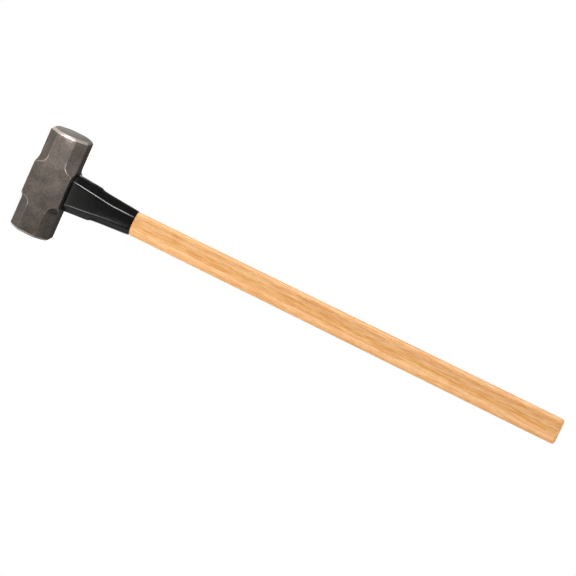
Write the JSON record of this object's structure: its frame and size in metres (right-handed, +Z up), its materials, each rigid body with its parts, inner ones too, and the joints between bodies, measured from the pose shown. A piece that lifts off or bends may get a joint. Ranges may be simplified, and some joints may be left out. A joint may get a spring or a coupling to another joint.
{
  "type": "sledgehammer",
  "caption": "Long wooden-handled sledgehammer with a double-faced forged head wedged onto the handle and a moulded guard where the handle meets the head.",
  "frame": {"origin": "centre of the head's outer side, the side where the wedges show, which is the lowest plane of the part", "axes": "+Z runs up the handle to the butt, X is the striking axis with a face at each end, Y is the hammer's thickness"},
  "size_m": [0.1766, 0.065, 0.914],
  "materials": {
    "head": "forged, dark satin lacquer, ground bevels at the striking faces",
    "handle": "sanded hickory under clear lacquer",
    "wood_wedge": "bare sawn hardwood",
    "steel_wedge": "bare rolled steel",
    "guard": "moulded, glossy black"
  },
  "bodies": {
    "root": {"sledge_head": "head", "handle": "handle", "wooden_wedge": "wood_wedge", "steel_wedge_1": "steel_wedge", "steel_wedge_2": "steel_wedge", "overstrike_guard": "guard"}
  },
  "joints": []
}
